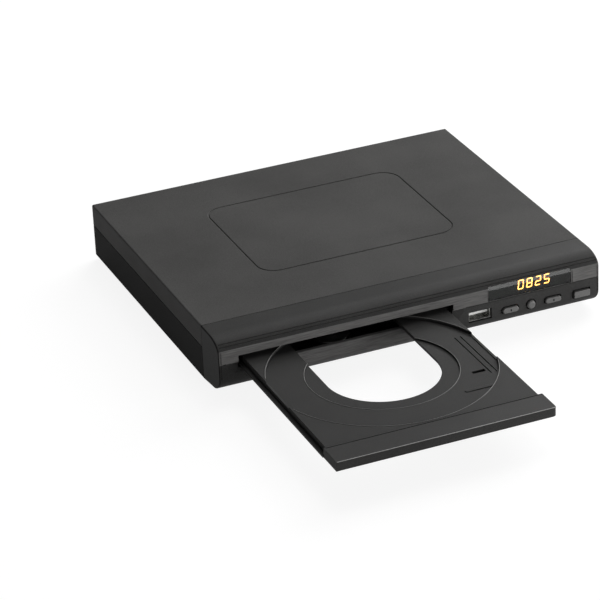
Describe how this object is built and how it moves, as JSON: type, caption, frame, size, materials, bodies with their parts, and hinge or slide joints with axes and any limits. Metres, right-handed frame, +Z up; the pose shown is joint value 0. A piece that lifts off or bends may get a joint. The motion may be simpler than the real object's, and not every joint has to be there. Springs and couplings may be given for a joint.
{
  "type": "disc player with tray",
  "caption": "Slim disc player with its loading tray out: front buttons, display window and data socket, rear jacks, and the loader, deck and boards inside.",
  "frame": {"origin": "on the ground under the middle of the player's length with its tray out, and the middle of its width", "axes": "+Z up, +Y from the front to the back, +X to the right seen from the front"},
  "size_m": [0.225, 0.326, 0.0343],
  "materials": {
    "cover_plastic": "fine matt texture, dark grey",
    "tub_plastic": "matt black",
    "bezel_plastic": "satin dark grey",
    "tray_plastic": "fine matt texture, near black",
    "door_plastic": "satin dark grey",
    "button_plastic": "satin dark grey",
    "window_plastic": "smoked clear plastic",
    "foot_rubber": "soft black rubber",
    "screw_steel": "zinc plated",
    "socket_steel": "tin plated sheet",
    "jack_plating": "nickel plated",
    "contact_brass": "plated brass",
    "usb_plastic": "moulded white",
    "socket_plastic": "moulded black nylon",
    "video_yellow": "yellow insulator",
    "left_white": "white insulator",
    "right_red": "red insulator",
    "panel_paint": "black painted sheet steel",
    "board_green": "green solder mask",
    "chip_black": "moulded epoxy",
    "can_sleeve": "dark sleeve",
    "transformer_tape": "yellow tape over ferrite",
    "heatsink_metal": "plain aluminium",
    "ribbon_white": "flat white cable",
    "loader_plastic": "moulded black plastic",
    "bridge_steel": "zinc plated sheet",
    "nylon": "moulded nylon",
    "gear_acetal": "moulded black acetal",
    "gear_nylon": "white nylon",
    "magnet_metal": "plated magnet",
    "deck_metal": "pressed deck",
    "rod_steel": "ground steel",
    "motor_can": "plated steel can",
    "pad_rubber": "rubber ring",
    "sled_casting": "cast sled",
    "lens_glass": "coated lens",
    "belt_rubber": "square rubber belt"
  },
  "bodies": {
    "player": {"bottom_case": "tub_plastic", "rubber_feet": "foot_rubber", "top_cover": "cover_plastic", "case_screws": "screw_steel", "front_bezel": "bezel_plastic", "display_lens": "window_plastic", "usb_shell": "socket_steel", "usb_tongue": "usb_plastic", "front_board": "board_green", "tact_switches": "chip_black", "display_module": "chip_black", "ir_receiver": "chip_black", "loader_frame": "loader_plastic", "loader_screws": "screw_steel", "clamp_bridge": "bridge_steel", "tray_motor": "motor_can", "drive_belt": "belt_rubber", "main_board": "board_green", "power_board": "board_green", "board_screws": "screw_steel", "board_chips": "chip_black", "capacitors": "can_sleeve", "transformer": "transformer_tape", "heatsink": "heatsink_metal", "ribbon_sockets": "socket_plastic", "front_ribbon": "ribbon_white", "rear_panel": "panel_paint", "hdmi_socket": "socket_steel", "scart_socket": "socket_steel", "jack_housing": "socket_plastic", "jack_sleeves": "jack_plating", "video_jack_core": "video_yellow", "left_jack_core": "left_white", "right_jack_core": "right_red", "mains_inlet": "socket_plastic", "inlet_pins": "contact_brass"},
    "tray": {"tray": "tray_plastic", "tray_door": "door_plastic"},
    "left_oval_button": {"left_oval_button": "button_plastic"},
    "round_button": {"round_button": "button_plastic"},
    "right_oval_button": {"right_oval_button": "button_plastic"},
    "power_button": {"power_button": "button_plastic"},
    "clamp": {"clamp_puck": "nylon", "clamp_magnet": "magnet_metal"},
    "deck": {"deck": "deck_metal", "guide_rods": "rod_steel", "spindle_motor": "motor_can", "sled_motor": "motor_can"},
    "turntable": {"turntable": "nylon", "turntable_pad": "pad_rubber"},
    "sled": {"laser_sled": "sled_casting", "pickup_lens": "lens_glass"},
    "sled_gear": {"sled_gear": "gear_nylon"},
    "sled_motor_pinion": {"sled_motor_pinion": "gear_nylon"},
    "tray_gear": {"tray_gear": "gear_acetal"},
    "pulley_gear": {"pulley_gear": "gear_acetal"},
    "motor_pulley": {"motor_pulley": "gear_acetal"},
    "cam_slider": {"cam_slider": "nylon"}
  },
  "joints": [
    {"name": "tray_slide", "type": "slide", "parent": "player", "child": "tray", "axis": [0, 1, 0], "range_m": [0, 0.124]},
    {"name": "tray_gear_spin", "type": "hinge", "parent": "player", "child": "tray_gear", "pos_m": [0.0109, -0.015, 0.0148], "axis": [0, 0, 1], "range_deg": [-1269.69, 0]},
    {"name": "pulley_gear_spin", "type": "hinge", "parent": "player", "child": "pulley_gear", "pos_m": [-0.0051, -0.015, 0.0148], "axis": [0, 0, 1], "range_deg": [0, 2961.28]},
    {"name": "motor_pulley_spin", "type": "hinge", "parent": "player", "child": "motor_pulley", "pos_m": [-0.04, -0.0185, 0.0144], "axis": [0, 0, 1], "range_deg": [0, 8770.14]},
    {"name": "deck_lift", "type": "hinge", "parent": "player", "child": "deck", "pos_m": [-0.0387, 0.121, 0.0146], "axis": [-1, 0, 0], "range_deg": [0, 2.99]},
    {"name": "cam_slide", "type": "slide", "parent": "player", "child": "cam_slider", "axis": [1, 0, 0], "range_m": [0, 0.01801]},
    {"name": "turntable_spin", "type": "hinge", "parent": "deck", "child": "turntable", "pos_m": [-0.0387, 0.04049, 0.01459], "axis": [0, -0.0522, 0.9986], "continuous": true},
    {"name": "clamp_spin", "type": "hinge", "parent": "player", "child": "clamp", "pos_m": [-0.0387, 0.0406, 0.026], "axis": [0, 0, 1], "continuous": true},
    {"name": "sled_slide", "type": "slide", "parent": "deck", "child": "sled", "axis": [0, 0.9986, 0.0522], "range_m": [0, 0.033]},
    {"name": "sled_gear_spin", "type": "hinge", "parent": "deck", "child": "sled_gear", "pos_m": [-0.0079, 0.07596, 0.01415], "axis": [0, -0.0522, 0.9986], "range_deg": [-394.91, 0]},
    {"name": "sled_motor_spin", "type": "hinge", "parent": "deck", "child": "sled_motor_pinion", "pos_m": [-0.0079, 0.06703, 0.01263], "axis": [0, -0.0522, 0.9986], "range_deg": [0, 788.82]},
    {"name": "left_oval_press", "type": "slide", "parent": "player", "child": "left_oval_button", "axis": [0, 1, 0], "range_m": [0, 0.0006], "stiffness_N_per_m": 400},
    {"name": "round_press", "type": "slide", "parent": "player", "child": "round_button", "axis": [0, 1, 0], "range_m": [0, 0.0006], "stiffness_N_per_m": 400},
    {"name": "right_oval_press", "type": "slide", "parent": "player", "child": "right_oval_button", "axis": [0, 1, 0], "range_m": [0, 0.0006], "stiffness_N_per_m": 400},
    {"name": "power_press", "type": "slide", "parent": "player", "child": "power_button", "axis": [0, 1, 0], "range_m": [0, 0.0006], "stiffness_N_per_m": 400}
  ],
  "couplings": [
    {"joint": "tray_gear_spin", "follows": "tray_slide", "rad_per_m": -178.57},
    {"joint": "pulley_gear_spin", "follows": "tray_slide", "rad_per_m": 416.67},
    {"joint": "motor_pulley_spin", "follows": "tray_slide", "rad_per_m": 1234.3},
    {"joint": "cam_slide", "follows": "deck_lift", "m_per_rad": 0.34441},
    {"joint": "sled_gear_spin", "follows": "sled_slide", "rad_per_m": -208.33},
    {"joint": "sled_motor_spin", "follows": "sled_slide", "rad_per_m": 416.67}
  ]
}
